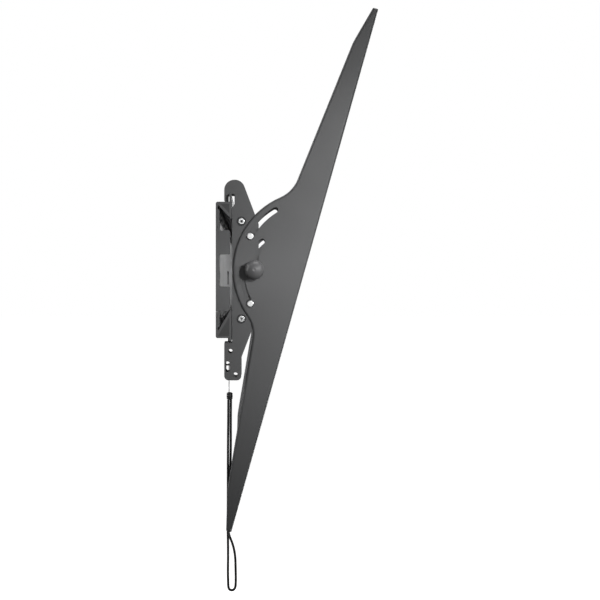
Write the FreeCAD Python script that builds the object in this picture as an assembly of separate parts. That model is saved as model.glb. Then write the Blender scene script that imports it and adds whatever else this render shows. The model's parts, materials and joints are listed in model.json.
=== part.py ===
import FreeCAD, Part

# Heavy-duty tilting wall mount for a large flat screen.
#
# Millimetres.  +Z is up, X runs along the wall, the wall is the plane y = 0 and the screen
# is on the -Y side.  The origin is the middle of the wall plate's back face.
# Sections are drawn as (out, z): "out" is the distance from the wall, so y = -out.

import math
import os

from FreeCAD import Vector

# ---------------------------------------------------------------- driving dimensions
# wall plate
PLATE_LENGTH = 860.0
PLATE_HALF_HEIGHT = 81.2
RAIL_SHEET = 2.5
RAIL_FRONT = 18.7
RAIL_BENDS = {"back": 2.4, "front": 0.6, "lip": 0.9, "brace_front": 0.8, "brace_back": 0.6}
RAIL_WEB_END = 50.0
TOP_LIP_Z = 91.3
BOTTOM_LIP_Z = -85.2
TOP_BRACE = ((2.5, 77.8), (RAIL_FRONT, 60.2))
BOTTOM_BRACE = ((2.5, -72.8), (RAIL_FRONT, -45.8))
BRACE_SHEET = 3.0
PANEL_SHEET = 2.0
PANEL_TOP = 72.0
PANEL_BOTTOM = -68.0
END_FLANGE_HALF = 49.5
TABS = ((18.4, 47.2), (-48.2, -19.8))
TAB_OUT = 17.1
TAB_CORNER = 2.0
SLOT_ROW_Z = 61.0
SLOT_WIDTH = 9.0
SLOT_LENGTH = 30.0
STUD_SPACINGS = (406.4, 609.6, 812.8)
RIVET_ROW_X = (50.0, 150.0, 254.0, 355.0)
RIVET_RADIUS = 2.5
RIVET_HEAD = (4.2, 1.6)
RIVET_SET_BACK = 0.3
DIMPLE_HALF_LENGTH = 54.0
DIMPLE_Z = (-16.5, 4.5)
DIMPLE_CORNER = 6.0
END_CAP_DEPTH = 12.0

# bracket: two hook plates inside a channel-shaped screen arm
BRACKET_X = 400.0
ARM_HALF_WIDTH = 22.0
ARM_SHEET = 2.0
HOOK_SHEET = 3.0
SIDE_GAP = 1.0
HOOK_OUTER = ARM_HALF_WIDTH - ARM_SHEET - SIDE_GAP
HOOK_INNER = HOOK_OUTER - HOOK_SHEET

# tilt centre, in front of the arm's front face, near the screen's centre of gravity
TILT_OUT = 114.8
TILT_ANGLE = 15.7
BACK_TILT = 14.4
ARM_TOP = 323.0
ARM_BOTTOM = -329.0
FACE_FROM_CENTRE = 7.7
DISC_RADIUS = 95.2
ROOT_FILLET = 38.5
TAPER = 0.108
KINK_TOP = 276.0
KINK_BOTTOM = -281.0
KINK_DEPTH = 18.8
KINK_RADIUS = 60.0
TIP_DEPTH = 6.7
TIP_RADIUS = 1.5
BEND_RADIUS = 3.0

# pins and tension bolt, in their arc slots; heads are (radius, height, edge radius)
PIN_AT = ((41.1, 40.4), (41.1, -40.4))
KNOB_AT = (46.1, 0.0)
PIN_RADIUS = 3.0
PIN_HEAD = (4.5, 1.8, 1.2)
PIN_HEAD_GAP = 0.4
BOLT_RADIUS = 3.0
BOLT_HEAD = (5.8, 4.0)
BOLT_HEAD_GAP = 2.0
BOLT_CHAMFER = 2.0
BOLT_END_GAP = 0.4
SLOT_HALF_WIDTH = 3.3
FIT = 0.05
CLEAR = 1.0
RIVET_AT = ((30.4, 58.5), (30.4, -58.5))
SLEEVE_RADIUS = 4.5
EYELET_RADIUS = 3.3
EYELET_BORE = 1.9
EYELET_HEAD = (4.1, 1.2, 0.9)
RIM_RADIUS = 5.7
RIM_THICKNESS = 0.6
KNOB_RADIUS = 11.5
KNOB_NECK = (8.0, 6.0, 5.0)
KNOB_FOOT = 1.8
KNOB_REACH = 12.6
SLIDE_WASHER = (5.4, 7.0, 0.8)
SLIDE_WASHER_GAP = 0.1
FRICTION_WASHER = (9.5, 1.2)
FRICTION_WASHER_GAP = 0.3

# the hook plate's outline, (out, z, corner radius), from the hook's throat round to its lip
HOOK_OUTLINE = (
    (9.8, 82.0, 1.9),
    (9.8, 108.4, 12.2),
    (30.96, 108.4, 12.2),
    (51.2, 55.0, 4.0),
    (51.2, -51.0, 4.0),
    (30.3, -105.3, 8.0),
    (30.3, -132.4, 5.5),
    (9.8, -132.4, 5.5),
    (9.8, -87.2, 1.0),
    (19.2, -87.2, 0.8),
    (19.2, 75.0, 1.0),
    (22.1, 79.0, 1.0),
    (22.1, 91.6, 1.4),
    (14.4, 91.6, 1.4),
    (14.4, 82.0, 1.9),
)
TONGUE_HOLES = ((17.2, -97.3, 2.6), (23.3, -125.8, 2.9))

# screen fixing holes on the arm's front face, as distances from its middle
SCREEN_HOLES = (100.0, 200.0, 300.0)
SCREEN_SLOTS = (130.0, 165.0, 235.0, 265.0)
CENTRE_SLOTS = (0.0, 45.0)
SCREEN_HOLE_RADIUS = 4.25
SCREEN_SLOT_LENGTH = 22.0

# spring latch under the bottom rail
LATCH_SHEET = 1.3
LATCH_HALF_WIDTH = 15.2
LATCH_WEB_OUT = 10.0
LATCH_NOSE_OUT = 15.4
LATCH_NOSE_TOP = -81.8
LATCH_SHELF_Z = -86.8
LATCH_FOOT_Z = -126.0
LATCH_NOSE_HALF = 12.0
TAB_Z = -114.9
TAB_THICKNESS = 1.6
TAB_HALF_WIDTH = 3.2
TAB_END_OUT = 28.0
VIEW_SLOT = (13.9, -109.6, -122.6, 2.4)
SPRING_OUT = 25.1
SPRING_WIRE = 0.4
SPRING_RADIUS = 2.3
SPRING_TURNS = 24
SPRING_PITCH = 1.5
SPRING_TOP = -69.0
SPRING_FOOT = 2.6
SPRING_FOOT_GAP = 0.2

# release wire, bead and pull cord, on the left bracket only
WIRE_OUT = 15.2
WIRE_RADIUS = 0.5
WIRE_HOLE = 0.8
SPRING_HOLE = 1.1
BEAD_OUT = 15.9
BEAD_RADIUS = 3.7
BEAD_TOP = -148.3
BEAD_BOTTOM = -157.3
BEAD_EDGE = 2.2
WIRE_STOP = (0.9, 1.0)
CORD_RADIUS = 1.5

# The cord's loop: (x from the bracket's middle, out, z), down the strand beside the wall,
# round the bottom and up the strand on the screen side, which passes the arm's open end.
CORD_ROUTE = (
    (-1.6, 14.4, -157.3),
    (-1.9, 14.3, -184.0),
    (-2.2, 13.9, -218.0),
    (-2.4, 13.9, -262.0),
    (-2.5, 13.6, -308.0),
    (-2.3, 14.1, -342.0),
    (-1.9, 13.8, -366.0),
    (-1.5, 14.1, -379.2),
    (-1.1, 14.4, -386.4),
    (-0.4, 16.8, -389.1),
    (0.4, 20.4, -389.2),
    (1.1, 22.9, -386.3),
    (1.5, 23.4, -379.0),
    (1.9, 23.2, -365.0),
    (2.3, 22.7, -347.0),
    (2.5, 19.6, -333.0),
    (2.7, 14.4, -321.5),
    (2.7, 13.8, -306.0),
    (2.6, 14.6, -282.0),
    (2.3, 16.5, -250.0),
    (1.9, 17.3, -214.0),
    (1.7, 17.1, -184.0),
    (1.6, 17.4, -157.3),
)

UP = Vector(0, 0, 1)
ALONG = Vector(1, 0, 0)


# ---------------------------------------------------------------- drawing helpers
def at(out, z, x=0.0):
    """A point from its distance to the wall and its height."""
    return Vector(x, -out, z)


def toward(start, end, distance):
    step = end.sub(start)
    step.normalize()
    return start.add(step.multiply(distance))


def rounded_wire(corners):
    """A closed wire through (out, z, radius) corners, each rounded by a tangent arc."""
    points = [at(out, z) for out, z, _ in corners]
    edges = []
    first = None
    last = None
    for index, corner in enumerate(points):
        radius = corners[index][2]
        before = points[index - 1]
        after = points[(index + 1) % len(points)]
        if radius > 0:
            turn = corner.sub(before).getAngle(after.sub(corner))
            cut = radius * math.tan(turn / 2)
            start = toward(corner, before, cut)
            end = toward(corner, after, cut)
            middle = start.add(end).multiply(0.5)
            sagitta = corner.distanceToPoint(middle) - radius * (1 / math.cos(turn / 2) - 1)
            summit = toward(middle, corner, sagitta)
            arc = Part.Arc(start, summit, end).toShape()
        else:
            start = corner
            end = corner
            arc = None
        if last is not None and last.distanceToPoint(start) > 1e-6:
            edges.append(Part.makeLine(last, start))
        if arc is not None:
            edges.append(arc)
        if first is None:
            first = start
        last = end
    if last.distanceToPoint(first) > 1e-6:
        edges.append(Part.makeLine(last, first))
    return Part.Wire(edges)


def plate(wire, x_start, x_end):
    """The flat plate inside a wire, from x_start to x_end."""
    face = Part.Face(wire)
    face.translate(Vector(x_start, 0, 0))
    return face.extrude(Vector(x_end - x_start, 0, 0))


def bar(x0, x1, out0, out1, z0, z1):
    """A box between two corners."""
    return Part.makeBox(x1 - x0, out1 - out0, z1 - z0, Vector(x0, -out1, z0))


def rod(x0, x1, out, z, radius):
    """A round bar along X."""
    return Part.makeCylinder(radius, x1 - x0, at(out, z, x0), ALONG)


def ring(x0, x1, out, z, radius, bore):
    return rod(x0, x1, out, z, radius).cut(rod(x0 - 1, x1 + 1, out, z, bore))


def upright_slot(out, z_top, z_bottom, half_width):
    """The wire of a vertical slot with round ends in a side plate."""
    left = out - half_width
    right = out + half_width
    end = 0.999 * half_width
    corners = (
        (left, z_top, end), (right, z_top, end), (right, z_bottom, end), (left, z_bottom, end)
    )
    return rounded_wire(corners)


def fused(shapes):
    whole = shapes[0].fuse(list(shapes[1:]))
    return whole.removeSplitter()


def mirrored(shape, side):
    """The same piece for the left (side -1) or right (side +1) bracket."""
    moved = shape if side > 0 else shape.mirror(Vector(0, 0, 0), ALONG)
    return moved.translated(Vector(side * BRACKET_X, 0, 0))


# ---------------------------------------------------------------- wall plate
def brace_hollow(brace, flange_z):
    """The hollow between a rail's flange, its front and its slanted brace."""
    (out0, z0), (out1, z1) = brace
    run = math.hypot(out1 - out0, z1 - z0)
    slope = (z1 - z0) / (out1 - out0)
    rise = math.copysign(BRACE_SHEET * run / (out1 - out0), flange_z)
    front = RAIL_FRONT - RAIL_SHEET
    z_front = z0 + slope * (front - out0) + rise
    out_flange = out0 + (flange_z - rise - z0) / slope
    out_flange = max(out_flange, RAIL_SHEET)
    corners = (
        (out_flange, flange_z, 0),
        (front, flange_z, 0),
        (front, z_front, 0),
    )
    return rounded_wire(corners)


def rail(brace, sign, lip_z):
    """One roll-formed rail: back web, flange, upturned lip and slanted brace."""
    flange = sign * PLATE_HALF_HEIGHT
    inside = sign * (PLATE_HALF_HEIGHT - RAIL_SHEET)
    lip_back = RAIL_FRONT - RAIL_SHEET
    corners = (
        (0, sign * RAIL_WEB_END, 0),
        (0, flange, RAIL_BENDS["back"]),
        (lip_back, flange, RAIL_BENDS["front"]),
        (lip_back, lip_z, RAIL_BENDS["lip"]),
        (RAIL_FRONT, lip_z, RAIL_BENDS["lip"]),
        (*brace[1], RAIL_BENDS["brace_front"]),
        (*brace[0], RAIL_BENDS["brace_back"]),
        (RAIL_SHEET, sign * RAIL_WEB_END, 0),
    )
    half = PLATE_LENGTH / 2
    body = plate(rounded_wire(corners), -half, half)
    body = body.cut(plate(brace_hollow(brace, inside), -half - 1, half + 1))
    return body.cut(Part.makeCompound(row_slots(sign)))


def row_slots(sign):
    """The wall-bolt slots of one row, as cutters through both sheets."""
    cutters = []
    depth = RAIL_SHEET + PANEL_SHEET + 2 * CLEAR
    for spacing in STUD_SPACINGS:
        for side in (-1, 1):
            middle = side * spacing / 2
            reach = (SLOT_LENGTH - SLOT_WIDTH) / 2
            z = sign * SLOT_ROW_Z
            radius = SLOT_WIDTH / 2
            out = Vector(0, -1, 0)
            ends = [
                Part.makeCylinder(radius, depth, Vector(middle + end * reach, CLEAR, z), out)
                for end in (-1, 1)
            ]
            body = bar(
                middle - reach, middle + reach, -CLEAR, depth - CLEAR, z - radius, z + radius
            )
            cutters.append(fused([body, *ends]))
    return cutters


def end_flange(side):
    """The folded end of the panel, with its two tabs that face along the wall."""
    edge = side * PLATE_LENGTH / 2
    fold = edge - side * PANEL_SHEET
    x0 = min(edge, fold)
    x1 = max(edge, fold)
    front = RAIL_SHEET + PANEL_SHEET
    pieces = [bar(x0, x1, 0, front, -END_FLANGE_HALF, END_FLANGE_HALF)]
    for z0, z1 in TABS:
        corners = (
            (RAIL_SHEET, z0, 0),
            (TAB_OUT, z0, TAB_CORNER),
            (TAB_OUT, z1, TAB_CORNER),
            (RAIL_SHEET, z1, 0),
        )
        pieces.append(plate(rounded_wire(corners), x0, x1))
    return pieces


def dimple(grow, out0, out1):
    """The oblong pressed dimple in the panel's middle, grown sideways by that much."""
    corners = (
        (-DIMPLE_HALF_LENGTH - grow, DIMPLE_Z[0] - grow),
        (DIMPLE_HALF_LENGTH + grow, DIMPLE_Z[0] - grow),
        (DIMPLE_HALF_LENGTH + grow, DIMPLE_Z[1] + grow),
        (-DIMPLE_HALF_LENGTH - grow, DIMPLE_Z[1] + grow),
    )
    block = bar(corners[0][0], corners[1][0], out0, out1, corners[0][1], corners[2][1])
    upright = [edge for edge in block.Edges if abs(edge.tangentAt(0).y) > 0.9]
    return block.makeFillet(DIMPLE_CORNER + grow, upright)


def wall_panel():
    """The pressed sheet between the rails; its dimple's back lies on the wall."""
    half = PLATE_LENGTH / 2
    front = RAIL_SHEET + PANEL_SHEET
    sheet = bar(-half, half, RAIL_SHEET, front, PANEL_BOTTOM, PANEL_TOP)
    pieces = [sheet, dimple(PANEL_SHEET, 0, front)]
    for side in (-1, 1):
        pieces.extend(end_flange(side))
    cutters = row_slots(1) + row_slots(-1) + [dimple(0, PANEL_SHEET, front + 1)]
    return fused(pieces).cut(Part.makeCompound(cutters))


def rail_end_caps():
    """Plugs in the open ends of both rails' closed sections."""
    caps = []
    half = PLATE_LENGTH / 2
    for brace, sign in ((TOP_BRACE, 1), (BOTTOM_BRACE, -1)):
        inside = sign * (PLATE_HALF_HEIGHT - RAIL_SHEET)
        hollow = brace_hollow(brace, inside)
        for x0 in (-half, half - END_CAP_DEPTH):
            caps.append(plate(hollow, x0, x0 + END_CAP_DEPTH))
    return Part.makeCompound(caps)


def rivet_places():
    return [
        (side * x, sign * SLOT_ROW_Z)
        for x in RIVET_ROW_X
        for side in (-1, 1)
        for sign in (-1, 1)
    ]


def panel_rivets():
    """Round-head rivets that join the panel to both rails."""
    rivets = []
    front = RAIL_SHEET + PANEL_SHEET
    radius, height = RIVET_HEAD
    out = Vector(0, -1, 0)
    for x, z in rivet_places():
        foot = Vector(x, -RIVET_SET_BACK, z)
        shank = Part.makeCylinder(RIVET_RADIUS, front, foot, out)
        head = Part.makeCylinder(radius, height, Vector(x, -front, z), out)
        rim = [e for e in head.Edges if abs(e.CenterOfMass.y + front + height) < 0.01]
        head = head.makeFillet(0.8 * height, rim)
        rivets.append(fused([shank, head]))
    return Part.makeCompound(rivets)


def with_rivet_holes(body):
    out = Vector(0, -1, 0)
    depth = RAIL_SHEET + PANEL_SHEET + 2 * CLEAR
    holes = [
        Part.makeCylinder(RIVET_RADIUS + FIT, depth, Vector(x, CLEAR, z), out)
        for x, z in rivet_places()
    ]
    return body.cut(Part.makeCompound(holes))


# ---------------------------------------------------------------- screen arm
def arc_slot(radius, low_deg, high_deg, half_width):
    """An arc slot about the tilt centre; angles rise from the direction of the wall."""
    def spot(distance, degrees):
        angle = math.radians(degrees)
        return at(TILT_OUT - distance * math.cos(angle), distance * math.sin(angle))

    middle = (low_deg + high_deg) / 2
    cap = math.degrees(half_width / radius)
    outer = radius + half_width
    inner = radius - half_width
    edges = [
        Part.Arc(spot(outer, low_deg), spot(outer, middle), spot(outer, high_deg)),
        Part.Arc(spot(outer, high_deg), spot(radius, high_deg + cap), spot(inner, high_deg)),
        Part.Arc(spot(inner, high_deg), spot(inner, middle), spot(inner, low_deg)),
        Part.Arc(spot(inner, low_deg), spot(radius, low_deg - cap), spot(outer, low_deg)),
    ]
    return Part.Wire([edge.toShape() for edge in edges])


def arm_plate(x_start, x_end):
    """The arm's side shape before tilting: a long double taper with a disc in its middle.

    The disc is centred on the tilt centre, and a fillet joins it to each taper's back line.
    """
    face = TILT_OUT - FACE_FROM_CENTRE
    run = math.hypot(1, TAPER)
    normal = (1 / run, TAPER / run)
    along = (-TAPER / run, 1 / run)
    line_gap = normal[0] * (FACE_FROM_CENTRE + KINK_DEPTH) + normal[1] * -KINK_BOTTOM
    reach = DISC_RADIUS + ROOT_FILLET
    shift = math.sqrt(reach ** 2 - (line_gap + ROOT_FILLET) ** 2)

    def spot(gap):
        """A point beside the back line: out from the wall, and height."""
        return (
            TILT_OUT - normal[0] * gap - along[0] * shift,
            normal[1] * gap + along[1] * shift,
        )

    hub = spot(line_gap + ROOT_FILLET)
    on_line = spot(line_gap)
    share = DISC_RADIUS / reach
    on_disc = (TILT_OUT - (TILT_OUT - hub[0]) * share, hub[1] * share)
    taper = rounded_wire(
        (
            (face, ARM_BOTTOM, TIP_RADIUS),
            (face, ARM_TOP, TIP_RADIUS),
            (face - TIP_DEPTH, ARM_TOP, TIP_RADIUS),
            (face - KINK_DEPTH, KINK_TOP, KINK_RADIUS),
            (*on_line, 0),
            (on_line[0], -on_line[1], 0),
            (face - KINK_DEPTH, KINK_BOTTOM, KINK_RADIUS),
            (face - TIP_DEPTH, ARM_BOTTOM, TIP_RADIUS),
        )
    )
    root_corners = (
        (*on_line, 0),
        (*on_disc, 0),
        (on_disc[0], -on_disc[1], 0),
        (on_line[0], -on_line[1], 0),
    )
    disc = rod(x_start, x_end, TILT_OUT, 0, DISC_RADIUS)
    front = bar(x_start, x_end, face, TILT_OUT + DISC_RADIUS, -DISC_RADIUS, DISC_RADIUS)
    root = plate(rounded_wire(root_corners), x_start, x_end)
    fillets = [
        rod(x_start - 1, x_end + 1, hub[0], sign * hub[1], ROOT_FILLET)
        for sign in (-1, 1)
    ]
    body = plate(taper, x_start, x_end).fuse([disc.cut(front), root])
    return body.cut(Part.makeCompound(fillets)).removeSplitter()


def bend_edges(body, out):
    """The two long edges of a channel at that distance from the wall, to be rounded."""
    return [
        edge
        for edge in body.Edges
        if edge.Length > ARM_TOP and abs(edge.CenterOfMass.y + out) < 0.01
    ]


def screen_cutters():
    """Round holes and slots through the arm's front face for the screen's bolts."""
    face = TILT_OUT - FACE_FROM_CENTRE
    inward = Vector(0, 1, 0)
    start = -face - 2
    depth = ARM_SHEET + 4
    cutters = []
    for sign in (-1, 1):
        for u in SCREEN_HOLES:
            foot = Vector(0, start, sign * u)
            cutters.append(Part.makeCylinder(SCREEN_HOLE_RADIUS, depth, foot, inward))
    reach = SCREEN_SLOT_LENGTH / 2 - SCREEN_HOLE_RADIUS
    slots = {sign * u for sign in (-1, 1) for u in SCREEN_SLOTS + CENTRE_SLOTS}
    for u in sorted(slots):
        ends = [
            Part.makeCylinder(
                SCREEN_HOLE_RADIUS, depth, Vector(0, start, u + end * reach), inward
            )
            for end in (-1, 1)
        ]
        body = Part.makeBox(
            2 * SCREEN_HOLE_RADIUS,
            depth,
            2 * reach,
            Vector(-SCREEN_HOLE_RADIUS, start, u - reach),
        )
        cutters.append(fused([body, *ends]))
    return cutters


def tv_arm():
    """The channel that carries the screen, at its forward tilt."""
    face = TILT_OUT - FACE_FROM_CENTRE
    body = arm_plate(-ARM_HALF_WIDTH, ARM_HALF_WIDTH)
    body = body.makeFillet(BEND_RADIUS, bend_edges(body, face))
    side = ARM_HALF_WIDTH - ARM_SHEET
    length = 2 * ARM_TOP
    inside = bar(-side, side, -10, face - ARM_SHEET, -length, length)
    inside = inside.makeFillet(BEND_RADIUS - ARM_SHEET, bend_edges(inside, face - ARM_SHEET))
    body = body.cut(inside)
    pin_out, pin_z = PIN_AT[0]
    pin_radius = math.hypot(TILT_OUT - pin_out, pin_z)
    pin_angle = math.degrees(math.asin(pin_z / pin_radius))
    wide = ARM_HALF_WIDTH + 1
    slots = ((pin_radius, pin_angle), (pin_radius, -pin_angle), (TILT_OUT - KNOB_AT[0], 0))
    for radius, middle in slots:
        low = middle - TILT_ANGLE
        wire = arc_slot(radius, low, low + TILT_ANGLE + BACK_TILT, SLOT_HALF_WIDTH)
        body = body.cut(plate(wire, -wide, wide))
    body = body.cut(Part.makeCompound(screen_cutters()))
    body.rotate(at(TILT_OUT, 0), ALONG, TILT_ANGLE)
    return body


# ---------------------------------------------------------------- hook plates
def hook_plate(x0, x1):
    """The hook over the top lip, the straight back, and the tongue below."""
    holes = [(*KNOB_AT, BOLT_RADIUS + FIT), *TONGUE_HOLES]
    holes += [(*spot, PIN_RADIUS + FIT) for spot in PIN_AT]
    holes += [(*spot, EYELET_RADIUS + FIT) for spot in RIVET_AT]
    cutters = [rod(x0 - 1, x1 + 1, out, z, radius) for out, z, radius in holes]
    cutters.append(plate(upright_slot(*VIEW_SLOT), x0 - 1, x1 + 1))
    return plate(rounded_wire(HOOK_OUTLINE), x0, x1).cut(Part.makeCompound(cutters))


def headed_rod(spot, radius, reach, head):
    """A round bar along X with a rounded head at each end, its heads starting at reach."""
    head_radius, head_height, head_edge = head
    body = rod(-reach, reach, *spot, radius)
    for side in (-1, 1):
        start = min(side * reach, side * (reach + head_height))
        free = side * (reach + head_height)
        disc = rod(start, start + head_height, *spot, head_radius)
        rim = [e for e in disc.Edges if abs(e.CenterOfMass.x - free) < 0.01]
        body = body.fuse(disc.makeFillet(head_edge, rim))
    return body.removeSplitter()


def spacer_sleeves():
    """Tubes that hold the two hook plates apart."""
    return Part.makeCompound(
        [
            ring(-HOOK_INNER, HOOK_INNER, *spot, SLEEVE_RADIUS, EYELET_RADIUS + FIT)
            for spot in RIVET_AT
        ]
    )


def hollow_rivets():
    """Tubular rivets through both hook plates, with a rolled head at each end."""
    reach = HOOK_OUTER + RIM_THICKNESS
    wide = ARM_HALF_WIDTH + 1
    rivets = []
    for spot in RIVET_AT:
        body = headed_rod(spot, EYELET_RADIUS, reach, EYELET_HEAD)
        rivets.append(body.cut(rod(-wide, wide, *spot, EYELET_BORE)))
    return Part.makeCompound(rivets)


def rivet_washers():
    """Dark washers under the rivets' heads."""
    washers = []
    for spot in RIVET_AT:
        for x0 in (-HOOK_OUTER - RIM_THICKNESS, HOOK_OUTER):
            x1 = x0 + RIM_THICKNESS
            washers.append(ring(x0, x1, *spot, RIM_RADIUS, EYELET_RADIUS + FIT))
    return Part.makeCompound(washers)


# ---------------------------------------------------------------- pins, bolt and knob
def guide_pins():
    """The two pins that the arm's slots ride on, with a low round head at each end."""
    reach = ARM_HALF_WIDTH + PIN_HEAD_GAP
    pins = [headed_rod(spot, PIN_RADIUS, reach, PIN_HEAD) for spot in PIN_AT]
    return Part.makeCompound(pins)


def slide_washers():
    """Nylon washers between the hook plates and the arm's sides."""
    pin_washer, bolt_washer, thickness = SLIDE_WASHER
    washers = []
    near = HOOK_OUTER + SLIDE_WASHER_GAP
    for x0 in (-near - thickness, near):
        x1 = x0 + thickness
        for spot in PIN_AT:
            washers.append(ring(x0, x1, *spot, pin_washer, PIN_RADIUS + FIT))
        washers.append(ring(x0, x1, *KNOB_AT, bolt_washer, BOLT_RADIUS + FIT))
    return Part.makeCompound(washers)


def tension_bolt():
    """A hexagon bolt from the inner side; its free end carries the knob."""
    corner_radius, height = BOLT_HEAD
    inner = -ARM_HALF_WIDTH - BOLT_HEAD_GAP
    outer = ARM_HALF_WIDTH + KNOB_FOOT + KNOB_REACH
    out, z = KNOB_AT
    angles = [math.radians(60 * step + 30) for step in range(7)]
    corners = [
        at(
            out + corner_radius * math.cos(angle),
            z + corner_radius * math.sin(angle),
            inner - height,
        )
        for angle in angles
    ]
    head = Part.Face(Part.makePolygon(corners)).extrude(Vector(height, 0, 0))
    foot = at(out, z, inner)
    wide = corner_radius + BOLT_CHAMFER
    narrow = corner_radius - BOLT_CHAMFER / 2
    chamfer = Part.makeCone(wide, narrow, height, foot, Vector(-1, 0, 0))
    shank = rod(inner, outer - BOLT_END_GAP, out, z, BOLT_RADIUS)
    return fused([shank, head.common(chamfer)])


def friction_washers():
    """Steel washers under the knob and under the bolt's head."""
    reach = ARM_HALF_WIDTH + FRICTION_WASHER_GAP
    radius, thickness = FRICTION_WASHER
    return Part.makeCompound(
        [
            ring(reach, reach + thickness, *KNOB_AT, radius, BOLT_RADIUS + FIT),
            ring(-reach - thickness, -reach, *KNOB_AT, radius, BOLT_RADIUS + FIT),
        ]
    )


def tension_knob():
    """A ball knob on a short flared neck, with a blind hole for the bolt."""
    foot = ARM_HALF_WIDTH + KNOB_FOOT
    wide, narrow, height = KNOB_NECK
    ball = Part.makeSphere(KNOB_RADIUS, at(*KNOB_AT, foot + KNOB_REACH))
    neck = Part.makeCone(wide, narrow, height, at(*KNOB_AT, foot), ALONG)
    below = rod(foot - KNOB_RADIUS, foot, *KNOB_AT, 2 * KNOB_RADIUS)
    bore = rod(foot - 1, foot + KNOB_REACH, *KNOB_AT, BOLT_RADIUS + FIT)
    return fused([ball, neck]).cut(below).cut(bore)


# ---------------------------------------------------------------- latch
def latch():
    """A folded slider: its nose stands behind the bottom lip, its tab is pulled down."""
    web_front = LATCH_WEB_OUT + LATCH_SHEET
    wide = LATCH_HALF_WIDTH
    nose = LATCH_NOSE_HALF
    nose_back = LATCH_NOSE_OUT - LATCH_SHEET
    tab_low = TAB_Z - TAB_THICKNESS / 2
    tab_high = TAB_Z + TAB_THICKNESS / 2
    shelf_low = LATCH_SHELF_Z - LATCH_SHEET
    pieces = [
        bar(-wide, wide, LATCH_WEB_OUT, web_front, LATCH_FOOT_Z, LATCH_SHELF_Z),
        bar(-wide, wide, LATCH_WEB_OUT, LATCH_NOSE_OUT, shelf_low, LATCH_SHELF_Z),
        bar(-nose, nose, nose_back, LATCH_NOSE_OUT, shelf_low, LATCH_NOSE_TOP),
        bar(-TAB_HALF_WIDTH, TAB_HALF_WIDTH, LATCH_WEB_OUT, TAB_END_OUT, tab_low, tab_high),
    ]
    holes = [
        Part.makeCylinder(hole, 4 * TAB_THICKNESS, at(out, TAB_Z - 2 * TAB_THICKNESS), UP)
        for out, hole in ((WIRE_OUT, WIRE_HOLE), (SPRING_OUT, SPRING_HOLE))
    ]
    return fused(pieces).cut(Part.makeCompound(holes))


def latch_spring():
    """An extension spring from the lower sleeve down to the latch's tab."""
    rivet_out, rivet_z = RIVET_AT[1]
    hook_radius = rivet_out - SPRING_OUT
    top = SPRING_TOP
    height = SPRING_TURNS * SPRING_PITCH
    bottom = top - height
    helix = Part.makeHelix(SPRING_PITCH, height, SPRING_RADIUS)
    helix.translate(at(SPRING_OUT, bottom))
    start = Vector(SPRING_RADIUS, -SPRING_OUT, bottom)
    profile = Part.Wire(Part.makeCircle(SPRING_WIRE, start, Vector(0, 1, 0)))
    coil = Part.Wire(helix).makePipeShell([profile], True, True)
    pieces = [coil]
    for z in (bottom, top):
        arm_start = at(SPRING_OUT, z)
        pieces.append(Part.makeCylinder(SPRING_WIRE, SPRING_RADIUS, arm_start, ALONG))
    upper = Part.makeCylinder(SPRING_WIRE, rivet_z - top, at(SPRING_OUT, top), UP)
    foot_z = TAB_Z - TAB_THICKNESS / 2 - SPRING_WIRE - SPRING_FOOT_GAP
    lower = Part.makeCylinder(SPRING_WIRE, bottom - foot_z, at(SPRING_OUT, foot_z), UP)
    foot = Part.makeCylinder(SPRING_WIRE, SPRING_FOOT, at(SPRING_OUT, foot_z), Vector(0, -1, 0))
    over = Part.Arc(
        at(SPRING_OUT, rivet_z),
        at(rivet_out, rivet_z + hook_radius),
        at(rivet_out + hook_radius, rivet_z),
    )
    end = Part.Wire(Part.makeCircle(SPRING_WIRE, at(SPRING_OUT, rivet_z), UP))
    hook = Part.Wire(over.toShape()).makePipeShell([end], True, False)
    pieces += [upper, lower, foot, hook]
    joints = [
        Part.makeSphere(SPRING_WIRE, at(SPRING_OUT, top)),
        Part.makeSphere(SPRING_WIRE, at(SPRING_OUT, bottom)),
        Part.makeSphere(SPRING_WIRE, at(SPRING_OUT, foot_z)),
    ]
    return fused(pieces + joints)


# ---------------------------------------------------------------- wire, bead and cord
def release_wire():
    """The thin wire from the latch's tab down into the bead."""
    stop_z = TAB_Z + TAB_THICKNESS / 2 + FIT
    stop_radius, stop_height = WIRE_STOP
    length = stop_z - BEAD_TOP + stop_height
    wire = Part.makeCylinder(WIRE_RADIUS, length, at(WIRE_OUT, BEAD_TOP), UP)
    stop = Part.makeCylinder(stop_radius, stop_height, at(WIRE_OUT, stop_z), UP)
    return fused([wire, stop])


def pull_bead():
    """The cord end that crimps both strands below the wire."""
    height = BEAD_TOP - BEAD_BOTTOM
    body = Part.makeCylinder(BEAD_RADIUS, height, at(BEAD_OUT, BEAD_BOTTOM), UP)
    return body.makeFillet(BEAD_EDGE, body.Edges)


def route_path(points):
    """Straight runs joined by tangent arcs; returns the wire and prints the radii."""
    edges = []
    last = points[0]
    length = 0.0
    radii = []
    for index in range(1, len(points) - 1):
        before = points[index - 1]
        corner = points[index]
        after = points[index + 1]
        run = min(corner.distanceToPoint(before), after.distanceToPoint(corner))
        turn = corner.sub(before).getAngle(after.sub(corner))
        cut = 0.45 * run
        radius = cut / math.tan(turn / 2)
        start = toward(corner, before, cut)
        end = toward(corner, after, cut)
        middle = start.add(end).multiply(0.5)
        sagitta = corner.distanceToPoint(middle) - radius * (1 / math.cos(turn / 2) - 1)
        edges.append(Part.makeLine(last, start))
        arc = Part.Arc(start, toward(middle, corner, sagitta), end).toShape()
        edges.append(arc)
        length += edges[-2].Length + arc.Length
        radii.append(round(radius, 1))
        last = end
    edges.append(Part.makeLine(last, points[-1]))
    length += edges[-1].Length
    print("cord radii", radii, "length", round(length, 1))
    return Part.Wire(edges), length


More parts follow.
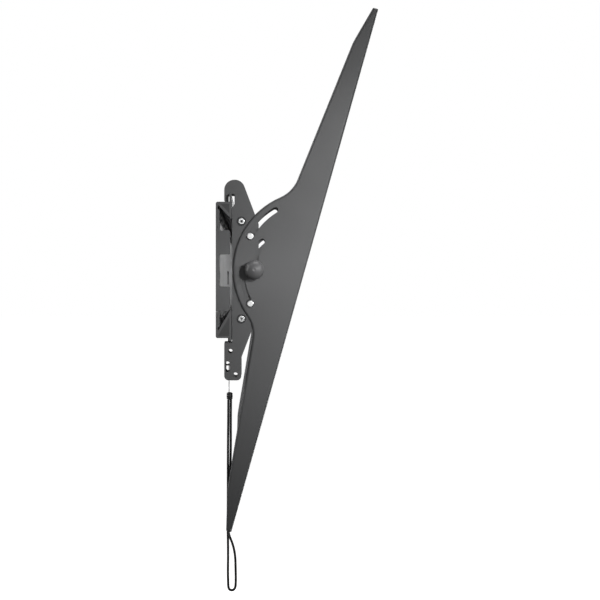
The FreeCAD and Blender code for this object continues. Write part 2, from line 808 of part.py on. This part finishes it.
def pull_cord():
    """The closed loop of round cord, both ends held in the bead."""
    points = [at(out, z, x) for x, out, z in CORD_ROUTE]
    path, length = route_path(points)
    heading = points[1].sub(points[0])
    profile = Part.Wire(Part.makeCircle(CORD_RADIUS, points[0], heading))
    cord = path.makePipeShell([profile], True, False)
    section = math.pi * CORD_RADIUS ** 2
    print("cord volume / section x length", round(cord.Volume / (section * length), 4))
    return cord


# ---------------------------------------------------------------- assembly
def wall_plate_parts():
    return {
        "wall_panel": with_rivet_holes(wall_panel()),
        "top_rail": with_rivet_holes(rail(TOP_BRACE, 1, TOP_LIP_Z)),
        "bottom_rail": with_rivet_holes(rail(BOTTOM_BRACE, -1, BOTTOM_LIP_Z)),
        "rail_end_caps": rail_end_caps(),
        "panel_rivets": panel_rivets(),
    }


def bracket_parts():
    """One bracket, drawn with its outer side toward +X."""
    return {
        "tv_arm": tv_arm(),
        "hook_plate_outer": hook_plate(HOOK_INNER, HOOK_OUTER),
        "hook_plate_inner": hook_plate(-HOOK_OUTER, -HOOK_INNER),
        "spacer_sleeves": spacer_sleeves(),
        "hollow_rivets": hollow_rivets(),
        "rivet_washers": rivet_washers(),
        "guide_pins": guide_pins(),
        "slide_washers": slide_washers(),
        "tension_bolt": tension_bolt(),
        "friction_washers": friction_washers(),
        "tension_knob": tension_knob(),
        "latch": latch(),
        "latch_spring": latch_spring(),
    }


def cord_parts():
    return {
        "release_wire": release_wire(),
        "pull_bead": pull_bead(),
        "pull_cord": pull_cord(),
    }


def write(name, shape):
    good = shape.isValid() and all(solid.Volume > 0 for solid in shape.Solids)
    print(f"{name}: {len(shape.Solids)} solid(s), {shape.Volume:.1f} mm3, valid {good}")
    shape.exportStep(f"parts/{name}.step")


def main():
    os.makedirs("parts", exist_ok=True)
    for name, shape in wall_plate_parts().items():
        write(name, shape)
    for name, shape in bracket_parts().items():
        write(f"{name}_left", mirrored(shape, -1))
        write(f"{name}_right", mirrored(shape, 1))
    for name, shape in cord_parts().items():
        write(f"{name}_left", shape.translated(Vector(-BRACKET_X, 0, 0)))


main()
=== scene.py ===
"""Looks of the tilting wall mount: camera, cord, knobs, springs, materials and soft light.

Metres, in the frame of the CAD model: the wall is the plane y = 0, the screen is on the -Y
side, and the left bracket, nearest the camera, carries the pull cord.
"""

import json
import math

import bpy
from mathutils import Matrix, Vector


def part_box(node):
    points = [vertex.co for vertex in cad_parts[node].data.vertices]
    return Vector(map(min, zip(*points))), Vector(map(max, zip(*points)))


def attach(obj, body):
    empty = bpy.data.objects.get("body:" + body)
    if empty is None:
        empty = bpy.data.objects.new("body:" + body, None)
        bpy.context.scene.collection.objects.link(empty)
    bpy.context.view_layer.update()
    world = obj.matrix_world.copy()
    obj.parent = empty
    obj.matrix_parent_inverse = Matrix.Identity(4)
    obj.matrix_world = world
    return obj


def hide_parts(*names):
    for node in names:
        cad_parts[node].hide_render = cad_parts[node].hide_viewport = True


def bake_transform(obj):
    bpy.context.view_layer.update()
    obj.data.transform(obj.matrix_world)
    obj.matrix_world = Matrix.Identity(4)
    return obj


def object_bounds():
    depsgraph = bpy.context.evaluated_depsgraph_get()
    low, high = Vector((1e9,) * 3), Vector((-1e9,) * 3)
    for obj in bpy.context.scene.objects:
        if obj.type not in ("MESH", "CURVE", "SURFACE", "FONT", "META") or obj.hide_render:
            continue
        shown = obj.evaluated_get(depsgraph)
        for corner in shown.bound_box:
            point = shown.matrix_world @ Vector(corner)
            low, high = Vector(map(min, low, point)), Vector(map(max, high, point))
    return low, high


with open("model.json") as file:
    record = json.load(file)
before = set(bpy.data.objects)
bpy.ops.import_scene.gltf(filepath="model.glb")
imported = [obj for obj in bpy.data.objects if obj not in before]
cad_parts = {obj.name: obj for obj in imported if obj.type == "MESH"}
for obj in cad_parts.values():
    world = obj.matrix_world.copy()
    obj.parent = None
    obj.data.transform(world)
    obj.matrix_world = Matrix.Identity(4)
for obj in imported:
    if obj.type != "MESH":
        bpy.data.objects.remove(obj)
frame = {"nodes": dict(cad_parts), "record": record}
cad_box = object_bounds()

MM = 0.001
OUTWARD = {"left": Vector((-1, 0, 0)), "right": Vector((1, 0, 0))}
UP = Vector((0, 0, 1))

# ---------------------------------------------------------------- camera
VIEW_DISTANCE = 1.35        # from the near arm's side to the lens
FIELD_WIDTH = 0.7182        # what the frame holds at the near arm's side
EYE_OUT = 0.0467            # lens to wall
EYE_HEIGHT = -0.0203        # lens above the wall plate's middle
FRAME_OFFSET = (0.0539, -0.0156)   # frame centre from the lens axis, right and up
SENSOR = 36.0


def add_camera():
    near_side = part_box("tv_arm_left")[0].x
    data = bpy.data.cameras.new("camera")
    data.sensor_width = SENSOR
    data.lens = SENSOR * VIEW_DISTANCE / FIELD_WIDTH
    data.shift_x = FRAME_OFFSET[0] / FIELD_WIDTH
    data.shift_y = FRAME_OFFSET[1] / FIELD_WIDTH
    camera = bpy.data.objects.new("camera", data)
    camera.location = (near_side - VIEW_DISTANCE, -EYE_OUT, EYE_HEIGHT)
    camera.rotation_euler = (math.radians(90), 0, math.radians(-90))
    bpy.context.scene.collection.objects.link(camera)
    bpy.context.scene.camera = camera


# ---------------------------------------------------------------- mesh helpers
LEAST_CROSS = 0.5           # a shorter cross product means that the axis runs near the vertical
ON_AXIS = 1e-7              # a profile point with a smaller radius lies on the axis
LATHE_STEPS = 64


def new_piece(name, vertices, faces, body, material):
    mesh = bpy.data.meshes.new(name)
    mesh.from_pydata(vertices, [], faces)
    mesh.validate()
    mesh.polygons.foreach_set("use_smooth", [True] * len(mesh.polygons))
    piece = bpy.data.objects.new(name, mesh)
    bpy.context.scene.collection.objects.link(piece)
    mesh.materials.append(material)
    if body is not None:
        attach(piece, body)
    return piece


def across(axis):
    """Two directions square to an axis and to each other."""
    side = axis.cross(UP)
    if side.length < LEAST_CROSS:
        side = axis.cross(Vector((0, 1, 0)))
    side.normalize()
    return side, axis.cross(side).normalized()


def lathed(name, profile, foot, axis, body, material):
    """A turned piece: the (radius, height) profile spun about an axis, its origin at foot."""
    side, front = across(axis)
    vertices = []
    rings = []
    for radius, height in profile:
        if radius < ON_AXIS:
            rings.append([len(vertices)])
            vertices.append(axis * height)
            continue
        first = len(vertices)
        rings.append(list(range(first, first + LATHE_STEPS)))
        for step in range(LATHE_STEPS):
            angle = 2 * math.pi * step / LATHE_STEPS
            spoke = side * math.cos(angle) + front * math.sin(angle)
            vertices.append(axis * height + spoke * radius)
    faces = []
    for low, high in zip(rings, rings[1:]):
        for step in range(LATHE_STEPS):
            after = (step + 1) % LATHE_STEPS
            corners = [
                low[step % len(low)],
                low[after % len(low)],
                high[after % len(high)],
                high[step % len(high)],
            ]
            faces.append(list(dict.fromkeys(corners)))
    faces = [face for face in faces if len(face) > 2]
    piece = new_piece(name, vertices, faces, None, material)
    piece.location = foot
    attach(piece, body)
    return piece


def arc(centre, radius, start_deg, end_deg, steps=6):
    """Points of a profile's arc, from one angle to another."""
    points = []
    for step in range(steps + 1):
        angle = math.radians(start_deg + (end_deg - start_deg) * step / steps)
        points.append(
            (centre[0] + radius * math.cos(angle), centre[1] + radius * math.sin(angle))
        )
    return points


def swept(name, points, radius_at, around, body, material):
    """A tube along points; radius_at gives its radius from the turn and the place."""
    side = Vector((1, 0, 0))
    vertices = []
    for index, point in enumerate(points):
        before = points[max(index - 1, 0)]
        after = points[min(index + 1, len(points) - 1)]
        heading = (after - before).normalized()
        side = (side - heading * side.dot(heading)).normalized()
        front = heading.cross(side)
        for step in range(around):
            turn = 2 * math.pi * step / around
            spoke = side * math.cos(turn) + front * math.sin(turn)
            vertices.append(point + spoke * radius_at(turn, index))
    faces = []
    for ring in range(len(points) - 1):
        base = ring * around
        for step in range(around):
            after = (step + 1) % around
            low = (base + step, base + after)
            faces.append((*low, low[1] + around, low[0] + around))
    faces.append(tuple(reversed(range(around))))
    last = (len(points) - 1) * around
    faces.append(tuple(range(last, last + around)))
    return new_piece(name, vertices, faces, body, material)


# ---------------------------------------------------------------- node helpers
MIX_COLOURS = (6, 7)        # a Mix node's two colour inputs
MIX_RESULT = 2              # and its colour output
NOISE_RANGE = (0.3, 0.7)    # where nearly all of a noise texture's values lie


class Nodes:
    """A short way to write a material's nodes."""

    def __init__(self, name):
        self.material = bpy.data.materials.new(name)
        self.material.use_nodes = True
        self.tree = self.material.node_tree
        self.tree.nodes.clear()
        self.shader = self.add("ShaderNodeBsdfPrincipled")
        output = self.add("ShaderNodeOutputMaterial")
        self.link(self.shader.outputs[0], output.inputs["Surface"])

    def add(self, kind, **settings):
        node = self.tree.nodes.new(kind)
        for key, value in settings.items():
            if hasattr(node, key):
                setattr(node, key, value)
            else:
                node.inputs[key.replace("_", " ").title()].default_value = value
        return node

    def link(self, output, target):
        self.tree.links.new(output, target)

    def position(self, scale=(1, 1, 1)):
        place = self.add("ShaderNodeTexCoord")
        mapping = self.add("ShaderNodeMapping")
        mapping.inputs["Scale"].default_value = scale
        self.link(place.outputs["Object"], mapping.inputs["Vector"])
        return mapping.outputs["Vector"]

    def noise(self, scale, detail=4.0, roughness=0.55, stretch=(1, 1, 1)):
        node = self.add("ShaderNodeTexNoise", scale=scale, detail=detail, roughness=roughness)
        self.link(self.position(stretch), node.inputs["Vector"])
        return node.outputs["Fac"]

    def ranged(self, value, low, high, out_low, out_high):
        node = self.add("ShaderNodeMapRange")
        for slot, number in zip(("From Min", "From Max"), (low, high)):
            node.inputs[slot].default_value = number
        for slot, number in zip(("To Min", "To Max"), (out_low, out_high)):
            node.inputs[slot].default_value = number
        self.link(value, node.inputs["Value"])
        return node.outputs["Result"]

    def blend(self, factor, first, second):
        """A colour between two, each given as three numbers."""
        node = self.add("ShaderNodeMix", data_type="RGBA")
        for index, colour in zip(MIX_COLOURS, (first, second)):
            node.inputs[index].default_value = (*colour, 1)
        self.link(factor, node.inputs[0])
        return node.outputs[MIX_RESULT]

    def bump(self, height, depth, strength=1.0, under=None):
        """A bump of that depth in metres, on top of another one if given."""
        node = self.add("ShaderNodeBump")
        node.inputs["Strength"].default_value = strength
        node.inputs["Distance"].default_value = depth
        self.link(height, node.inputs["Height"])
        if under is not None:
            self.link(under, node.inputs["Normal"])
        return node.outputs["Normal"]

    def set(self, **values):
        for key, value in values.items():
            self.shader.inputs[key.replace("_", " ")].default_value = value


def powder_coat():
    """Fine-textured charcoal powder coat: sand grain over a slight orange peel."""
    nodes = Nodes("powder_coat")
    peel = nodes.noise(900.0, 2.0)
    grain = nodes.noise(4200.0, 3.0, 0.7)
    cloud = nodes.noise(9.0, 3.0)
    speck = nodes.ranged(nodes.noise(2600.0, 1.0), 0.35, 0.75, 0.0, 1.0)
    colour = nodes.blend(speck, (0.082, 0.083, 0.085), (0.100, 0.101, 0.103))
    nodes.link(colour, nodes.shader.inputs["Base Color"])
    rough = nodes.ranged(cloud, *NOISE_RANGE, 0.46, 0.54)
    nodes.link(rough, nodes.shader.inputs["Roughness"])
    low = nodes.bump(peel, 0.00006, 0.5)
    nodes.link(nodes.bump(grain, 0.00004, 0.6, low), nodes.shader.inputs["Normal"])
    nodes.set(Metallic=0.0, IOR=1.5)
    return nodes.material


def zinc_plate():
    """Bright zinc with faint turning marks and a slightly uneven passivation."""
    nodes = Nodes("zinc")
    cloud = nodes.noise(260.0, 4.0)
    colour = nodes.blend(cloud, (0.50, 0.51, 0.52), (0.60, 0.60, 0.59))
    nodes.link(colour, nodes.shader.inputs["Base Color"])
    scratch = nodes.noise(2500.0, 3.0, 0.6, (0.15, 1, 1))
    nodes.link(nodes.ranged(scratch, *NOISE_RANGE, 0.28, 0.42), nodes.shader.inputs["Roughness"])
    nodes.link(nodes.bump(scratch, 0.00002, 0.4), nodes.shader.inputs["Normal"])
    nodes.set(Metallic=1.0)
    return nodes.material


def spring_steel():
    """Drawn wire, with fine lines along it."""
    nodes = Nodes("spring_steel")
    lines = nodes.noise(1500.0, 3.0, 0.6, (1, 1, 0.2))
    colour = nodes.blend(lines, (0.46, 0.46, 0.47), (0.62, 0.62, 0.63))
    nodes.link(colour, nodes.shader.inputs["Base Color"])
    nodes.link(nodes.ranged(lines, *NOISE_RANGE, 0.24, 0.4), nodes.shader.inputs["Roughness"])
    nodes.link(nodes.bump(lines, 0.00001, 0.4), nodes.shader.inputs["Normal"])
    nodes.set(Metallic=1.0)
    return nodes.material


def moulded(name, dark, light, roughness, grain_scale):
    """Moulded plastic: a fine spark-eroded grain."""
    nodes = Nodes(name)
    grain = nodes.noise(grain_scale, 3.0, 0.65)
    cloud = nodes.noise(60.0, 2.0)
    nodes.link(nodes.blend(cloud, dark, light), nodes.shader.inputs["Base Color"])
    rough = nodes.ranged(grain, *NOISE_RANGE, roughness - 0.05, roughness + 0.06)
    nodes.link(rough, nodes.shader.inputs["Roughness"])
    nodes.link(nodes.bump(grain, 0.00003, 0.5), nodes.shader.inputs["Normal"])
    return nodes.material


def braid_material():
    """Black polyester yarn: each strand's fibres run along it."""
    nodes = Nodes("cord_braid")
    fibre = nodes.noise(5200.0, 3.0, 0.7, (1, 1, 0.35))
    colour = nodes.blend(fibre, (0.007, 0.007, 0.008), (0.016, 0.016, 0.017))
    nodes.link(colour, nodes.shader.inputs["Base Color"])
    nodes.link(nodes.ranged(fibre, *NOISE_RANGE, 0.6, 0.85), nodes.shader.inputs["Roughness"])
    nodes.link(nodes.bump(fibre, 0.00005, 0.7), nodes.shader.inputs["Normal"])
    nodes.set(Sheen_Weight=0.06, Sheen_Roughness=0.5)
    return nodes.material


MATERIALS = {
    "powder_coat": powder_coat(),
    "dark_rivet": moulded("dark_rivet", (0.07, 0.07, 0.072), (0.09, 0.09, 0.092), 0.45, 2500.0),
    "zinc": zinc_plate(),
    "spring_steel": spring_steel(),
    "black_nylon": moulded("black_nylon", (0.012, 0.012, 0.013), (0.02, 0.02, 0.021), 0.5, 3500.0),
    "knob_plastic": moulded("knob_plastic", (0.105, 0.105, 0.107), (0.125, 0.125, 0.127), 0.44, 3000.0),
    "cap_plastic": moulded("cap_plastic", (0.040, 0.040, 0.041), (0.050, 0.050, 0.051), 0.55, 2500.0),
    "cord_braid": braid_material(),
}


def finish_cad_nodes():
    """Every node that stays gets its slot's material."""
    for row in frame["record"]["subparts"]:
        node = frame["nodes"][row["node"]]
        node.data.materials.clear()
        node.data.materials.append(MATERIALS[row["material_slot"]])


# ---------------------------------------------------------------- pull cord
CORD_DIAMETER = 3.0 * MM
STRANDS = 8                 # strands that wind each way round the cord
BRAID_PITCH = 9.0 * MM
BRAID_DEPTH = 0.12 * MM
BRAID_AROUND = 32
BRAID_STEP = 0.28 * MM
CORD_RESOLUTION = 48        # points that the smooth line gets for each point of the route
# (x from the bracket's middle, y, z), from the bead down beside the wall and up again
CORD_ROUTE = (
    (-0.0016, -0.0144, -0.1573),
    (-0.0019, -0.0143, -0.1840),
    (-0.0022, -0.0139, -0.2180),
    (-0.0024, -0.0139, -0.2620),
    (-0.0025, -0.0136, -0.3080),
    (-0.0023, -0.0141, -0.3420),
    (-0.0019, -0.0138, -0.3660),
    (-0.0015, -0.0141, -0.3792),
    (-0.0011, -0.0144, -0.3864),
    (-0.0004, -0.0168, -0.3891),
    (0.0004, -0.0204, -0.3892),
    (0.0011, -0.0229, -0.3863),
    (0.0015, -0.0234, -0.3790),
    (0.0019, -0.0232, -0.3650),
    (0.0023, -0.0227, -0.3470),
    (0.0025, -0.0196, -0.3330),
    (0.0027, -0.0144, -0.3215),
    (0.0027, -0.0138, -0.3060),
    (0.0026, -0.0146, -0.2820),
    (0.0023, -0.0165, -0.2500),
    (0.0019, -0.0173, -0.2140),
    (0.0017, -0.0171, -0.1840),
    (0.0016, -0.0174, -0.1573),
)


def cord_line(middle):
    """The points of the smooth line that the route's NURBS spline gives."""
    curve = bpy.data.curves.new("cord_line", "CURVE")
    curve.dimensions = "3D"
    spline = curve.splines.new("NURBS")
    spline.points.add(len(CORD_ROUTE) - 1)
    for point, (x, y, z) in zip(spline.points, CORD_ROUTE):
        point.co = (middle + x, y, z, 1)
    spline.order_u = 3
    spline.use_endpoint_u = True
    spline.resolution_u = CORD_RESOLUTION
    holder = bpy.data.objects.new("cord_line", curve)
    bpy.context.scene.collection.objects.link(holder)
    bpy.context.view_layer.update()
    mesh = bpy.data.meshes.new_from_object(holder)
    points = [vertex.co.copy() for vertex in mesh.vertices]
    bpy.data.objects.remove(holder)
    bpy.data.meshes.remove(mesh)
    return points


def evenly(points, step):
    """The same line with its points an equal step apart."""
    lengths = [0.0]
    for first, second in zip(points, points[1:]):
        lengths.append(lengths[-1] + (second - first).length)
    count = round(lengths[-1] / step)
    spread = []
    index = 0
    for number in range(count + 1):
        distance = lengths[-1] * number / count
        while index < len(points) - 2 and lengths[index + 1] < distance:
            index += 1
        gap = lengths[index + 1] - lengths[index]
        share = (distance - lengths[index]) / gap if gap > 0 else 0.0
        spread.append(points[index].lerp(points[index + 1], share))
    return spread


def braid_radius(turn, distance):
    """The braid's surface: two families of strands that cross over and under."""
    wave = STRANDS * turn
    drift = 2 * math.pi * STRANDS * distance / BRAID_PITCH
    left = math.cos((wave + drift) / 2) ** 2
    right = math.cos((wave - drift) / 2) ** 2
    over = 0.5 + 0.5 * math.cos(wave) * math.cos(drift)
    height = max(left * over, right * (1 - over)) + 0.5 * left * right
    return CORD_DIAMETER / 2 - BRAID_DEPTH * (1 - min(height, 1.0))


def braided_cord(end_bead):
    """The release cord's loop as a braided tube; end_bead, the bead that holds both its ends, is not
    used.
    """
    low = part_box("hook_plate_outer_left")[0]
    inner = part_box("hook_plate_inner_left")
    middle = (low.x + inner[1].x) / 2
    line = cord_line(middle)
    points = evenly(line, BRAID_STEP)
    cord = swept(
        "pull_cord_braid",
        points,
        lambda turn, index: braid_radius(turn, index * BRAID_STEP),
        BRAID_AROUND,
        "release_left",
        MATERIALS["cord_braid"],
    )
    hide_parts("pull_cord_left")


# ---------------------------------------------------------------- bead, knobs and springs
BEAD_EDGE = 2.2 * MM
BEAD_GROOVE = 0.35 * MM
BEAD_GROOVES = 2
GROOVE_ARC = (110, 250)     # degrees of a groove's round bottom
KNOB_FOOT_EDGE = 0.5 * MM
KNOB_NECK_HEIGHT = 5.0 * MM
KNOB_NECK_FOOT = 8.0 * MM
KNOB_PARTING = 0.12 * MM    # how far the mould's parting line stands proud
KNOB_NECK_INSET = 3 * KNOB_PARTING
KNOB_GATE = (1.7 * MM, 0.25 * MM)   # the gate mark's radius and depth
KNOB_BALL_START = 1         # degrees from the neck's top to where the ball's arc starts
KNOB_STEPS = (14, 24)       # profile steps below and above the parting line


def bead():
    """The moulded cord end: round shoulders and crimp grooves round its waist."""
    low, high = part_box("pull_bead_left")
    radius = (high.x - low.x) / 2
    height = high.z - low.z
    profile = [(0, 0), *arc((radius - BEAD_EDGE, BEAD_EDGE), BEAD_EDGE, -90, 0)]
    for number in range(BEAD_GROOVES):
        middle = height * (number + 1) / (BEAD_GROOVES + 1)
        profile.append((radius, middle - BEAD_GROOVE))
        profile.extend(reversed(arc((radius, middle), BEAD_GROOVE, *GROOVE_ARC)))
        profile.append((radius, middle + BEAD_GROOVE))
    shoulder = arc((radius - BEAD_EDGE, height - BEAD_EDGE), BEAD_EDGE, 0, 90)
    profile += [*shoulder, (0, height)]
    foot = Vector(((low.x + high.x) / 2, (low.y + high.y) / 2, low.z))
    piece = lathed("pull_bead", profile, foot, UP, "release_left", MATERIALS["black_nylon"])
    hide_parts("pull_bead_left")
    return piece


def ball_knob(side):
    """A ball knob with a flared neck, a fine parting line and a gate mark at its pole."""
    low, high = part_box(f"tension_knob_{side}")
    radius = (high.y - low.y) / 2
    height = high.x - low.x
    ball = height - radius
    neck_top = math.sqrt(radius ** 2 - (ball - KNOB_NECK_HEIGHT) ** 2)
    start = math.degrees(math.asin((KNOB_NECK_HEIGHT - ball) / radius))
    smooth = radius - KNOB_PARTING
    gate_radius, gate_depth = KNOB_GATE
    steps_below, steps_above = KNOB_STEPS
    pole = 90 - math.degrees(math.asin(gate_radius / smooth))
    seam = math.degrees(2 * KNOB_PARTING / radius)   # half of the parting line's width
    gate_floor = ball + smooth - gate_depth
    profile = [(0, 0), (KNOB_NECK_FOOT - KNOB_FOOT_EDGE, 0), (KNOB_NECK_FOOT, KNOB_FOOT_EDGE)]
    profile.append((neck_top - KNOB_NECK_INSET, KNOB_NECK_HEIGHT - KNOB_FOOT_EDGE))
    profile += arc((0, ball), smooth, start + KNOB_BALL_START, -seam, steps_below)
    profile += [(radius, ball - KNOB_PARTING / 2), (radius, ball + KNOB_PARTING / 2)]
    profile += arc((0, ball), smooth, seam, pole, steps_above)
    profile += [(gate_radius - gate_depth, gate_floor), (0, gate_floor)]
    outward = OUTWARD[side]
    foot_x = low.x if outward.x > 0 else high.x
    foot = Vector((foot_x, (low.y + high.y) / 2, (low.z + high.z) / 2))
    piece = lathed(
        f"ball_knob_{side}", profile, foot, outward, f"knob_{side}", MATERIALS["knob_plastic"]
    )
    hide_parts(f"tension_knob_{side}")


SPRING_WIRE = 0.4 * MM
SPRING_RADIUS = 2.3 * MM
SPRING_TURNS = 24
SPRING_STEPS = 20           # points in one turn of the coil
SPRING_RUN_IN = 0.6         # turns over which the coil opens from its straight end
SPRING_AROUND = 10
HOOK_STEPS = 16
BEND_STEPS = 4
SPRING_TOP = -69.0 * MM
SPRING_BOTTOM = -105.0 * MM
SPRING_FOOT = 2.2 * MM


def coil_spring(side):
    """The latch's spring: it stretches between the lower sleeve and the latch's tab."""
    low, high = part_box(f"latch_spring_{side}")
    sleeve_low, sleeve_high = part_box(f"spacer_sleeves_{side}")
    middle = (low.x + high.x) / 2
    coil_y = high.y - SPRING_RADIUS - SPRING_WIRE
    hook_y = (sleeve_low.y + sleeve_high.y) / 2
    hook_radius = coil_y - hook_y
    hook_z = high.z - SPRING_WIRE - hook_radius
    foot_z = low.z + SPRING_WIRE
    points = []
    for step in range(HOOK_STEPS + 1):
        angle = math.pi * step / HOOK_STEPS
        y = hook_y - hook_radius * math.cos(angle)
        points.append(Vector((middle, y, hook_z + hook_radius * math.sin(angle))))
    count = SPRING_TURNS * SPRING_STEPS
    for step in range(count + 1):
        turn = step / SPRING_STEPS
        opened = min(1, turn / SPRING_RUN_IN, (SPRING_TURNS - turn) / SPRING_RUN_IN)
        reach = SPRING_RADIUS * opened
        angle = 2 * math.pi * turn
        x = middle + reach * math.cos(angle)
        z = SPRING_TOP + (SPRING_BOTTOM - SPRING_TOP) * step / count
        points.append(Vector((x, coil_y + reach * math.sin(angle), z)))
    bend = 2 * SPRING_WIRE
    for step in range(BEND_STEPS + 1):
        angle = math.pi / 2 * step / BEND_STEPS
        y = coil_y - bend * (1 - math.cos(angle))
        points.append(Vector((middle, y, foot_z + bend * (1 - math.sin(angle)))))
    points.append(Vector((middle, coil_y - SPRING_FOOT, foot_z)))
    spring = swept(
        f"coil_spring_{side}",
        points,
        lambda turn, index: SPRING_WIRE,
        SPRING_AROUND,
        None,
        MATERIALS["spring_steel"],
    )
    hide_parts(f"latch_spring_{side}")
    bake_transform(spring)


# ---------------------------------------------------------------- stage and light
FLOOR_DROP = 0.75           # floor below the cord's lowest point
FLOOR_HALF = 40.0


def add_stage():
    floor_z = cad_box[0].z - FLOOR_DROP
    mesh = bpy.data.meshes.new("floor")
    corners = [
        (x * FLOOR_HALF, y * FLOOR_HALF, floor_z) for x, y in ((-1, -1), (1, -1), (1, 1), (-1, 1))
    ]
    mesh.from_pydata(corners, [], [(0, 1, 2, 3)])
    floor = bpy.data.objects.new("floor", mesh)
    bpy.context.scene.collection.objects.link(floor)
    nodes = Nodes("pale_floor")
    cloud = nodes.noise(2.0, 3.0)
    colour = nodes.blend(cloud, (0.40, 0.40, 0.40), (0.42, 0.42, 0.42))
    nodes.link(colour, nodes.shader.inputs["Base Color"])
    nodes.set(Roughness=0.9, Emission_Color=(1, 1, 1, 1), Emission_Strength=0.96)
    mesh.materials.append(nodes.material)
    # its glow is for the camera alone: it neither lights the object nor shows in it
    floor.visible_diffuse = False
    floor.visible_glossy = False


AMBIENT = 0.10


def add_world():
    """A pale surround: the camera sees it white, and it lights the object softly."""
    world = bpy.data.worlds.new("pale_surround")
    bpy.context.scene.world = world
    world.use_nodes = True
    tree = world.node_tree
    tree.nodes.clear()
    output = tree.nodes.new("ShaderNodeOutputWorld")
    mix = tree.nodes.new("ShaderNodeMixShader")
    ray = tree.nodes.new("ShaderNodeLightPath")
    seen = tree.nodes.new("ShaderNodeBackground")
    seen.inputs["Color"].default_value = (1, 1, 1, 1)
    lit = tree.nodes.new("ShaderNodeBackground")
    lit.inputs["Color"].default_value = (1, 1, 1, 1)
    lit.inputs["Strength"].default_value = AMBIENT
    tree.links.new(ray.outputs["Is Camera Ray"], mix.inputs[0])
    tree.links.new(lit.outputs[0], mix.inputs[1])
    tree.links.new(seen.outputs[0], mix.inputs[2])
    tree.links.new(mix.outputs[0], output.inputs["Surface"])


# name: (position, what it points at, width, height, watts)
LIGHTS = {
    "front_card": ((-2.3, -0.03, 0.15), (-0.42, -0.04, 0.0), 0.8, 0.8, 2.2),
    "screen_side": ((1.7, -2.1, 1.1), (0.0, -0.05, 0.0), 1.6, 1.2, 60.0),
    "wall_side": ((0.5, 1.9, 0.9), (0.0, 0.0, 0.0), 1.6, 1.2, 45.0),
    "far_end": ((2.3, -0.2, 0.5), (0.4, -0.05, 0.0), 1.0, 1.0, 14.0),
    "overhead": ((0.2, -0.3, 2.1), (0.0, -0.1, 0.0), 1.8, 1.0, 35.0),
    "low_screen_side": ((1.1, -1.6, -1.1), (0.0, 0.0, 0.03), 1.2, 0.8, 32.0),
}
# the soft-edged spot that gives the near arm its bright middle and dark tips
SPOT_PLACE = (-2.25, -0.85, 0.32)
SPOT_TARGET = (-0.42, -0.235, 0.005)
SPOT_ANGLE = 18.6
SPOT_WATTS = 200.0
SPOT_RADIUS = 0.22
# a small spot that picks out the near knob from the screen's side
KNOB_SPOT_PLACE = (-0.95, -1.05, 0.30)
KNOB_SPOT = (44.0, 3.4, 0.03)   # watts, cone in degrees, radius


def add_light(name, kind, place, target, watts):
    """A lamp that the camera doesn't see, pointed at its target."""
    data = bpy.data.lights.new(name, kind)
    data.energy = watts
    light = bpy.data.objects.new(name, data)
    light.location = place
    aim = Vector(target) - Vector(place)
    light.rotation_euler = aim.to_track_quat("-Z", "Y").to_euler()
    light.visible_camera = False
    bpy.context.scene.collection.objects.link(light)
    return data


def add_lights():
    for name, (place, target, width, height, watts) in LIGHTS.items():
        data = add_light(name, "AREA", place, target, watts)
        data.shape = "RECTANGLE"
        data.size = width
        data.size_y = height
    low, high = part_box("tension_knob_left")
    spots = (
        ("key_spot", SPOT_PLACE, SPOT_TARGET, SPOT_WATTS, SPOT_ANGLE, SPOT_RADIUS),
        ("knob_spot", KNOB_SPOT_PLACE, (low + high) / 2, *KNOB_SPOT),
    )
    for name, place, target, watts, angle, radius in spots:
        spot = add_light(name, "SPOT", place, target, watts)
        spot.spot_size = math.radians(angle)
        spot.spot_blend = 1.0
        spot.shadow_soft_size = radius


add_camera()
braided_cord(bead())
finish_cad_nodes()
for side_name in OUTWARD:
    ball_knob(side_name)
    coil_spring(side_name)
add_stage()
add_world()
add_lights()
bpy.context.scene.view_settings.view_transform = "Standard"
bpy.context.scene.view_settings.look = "None"
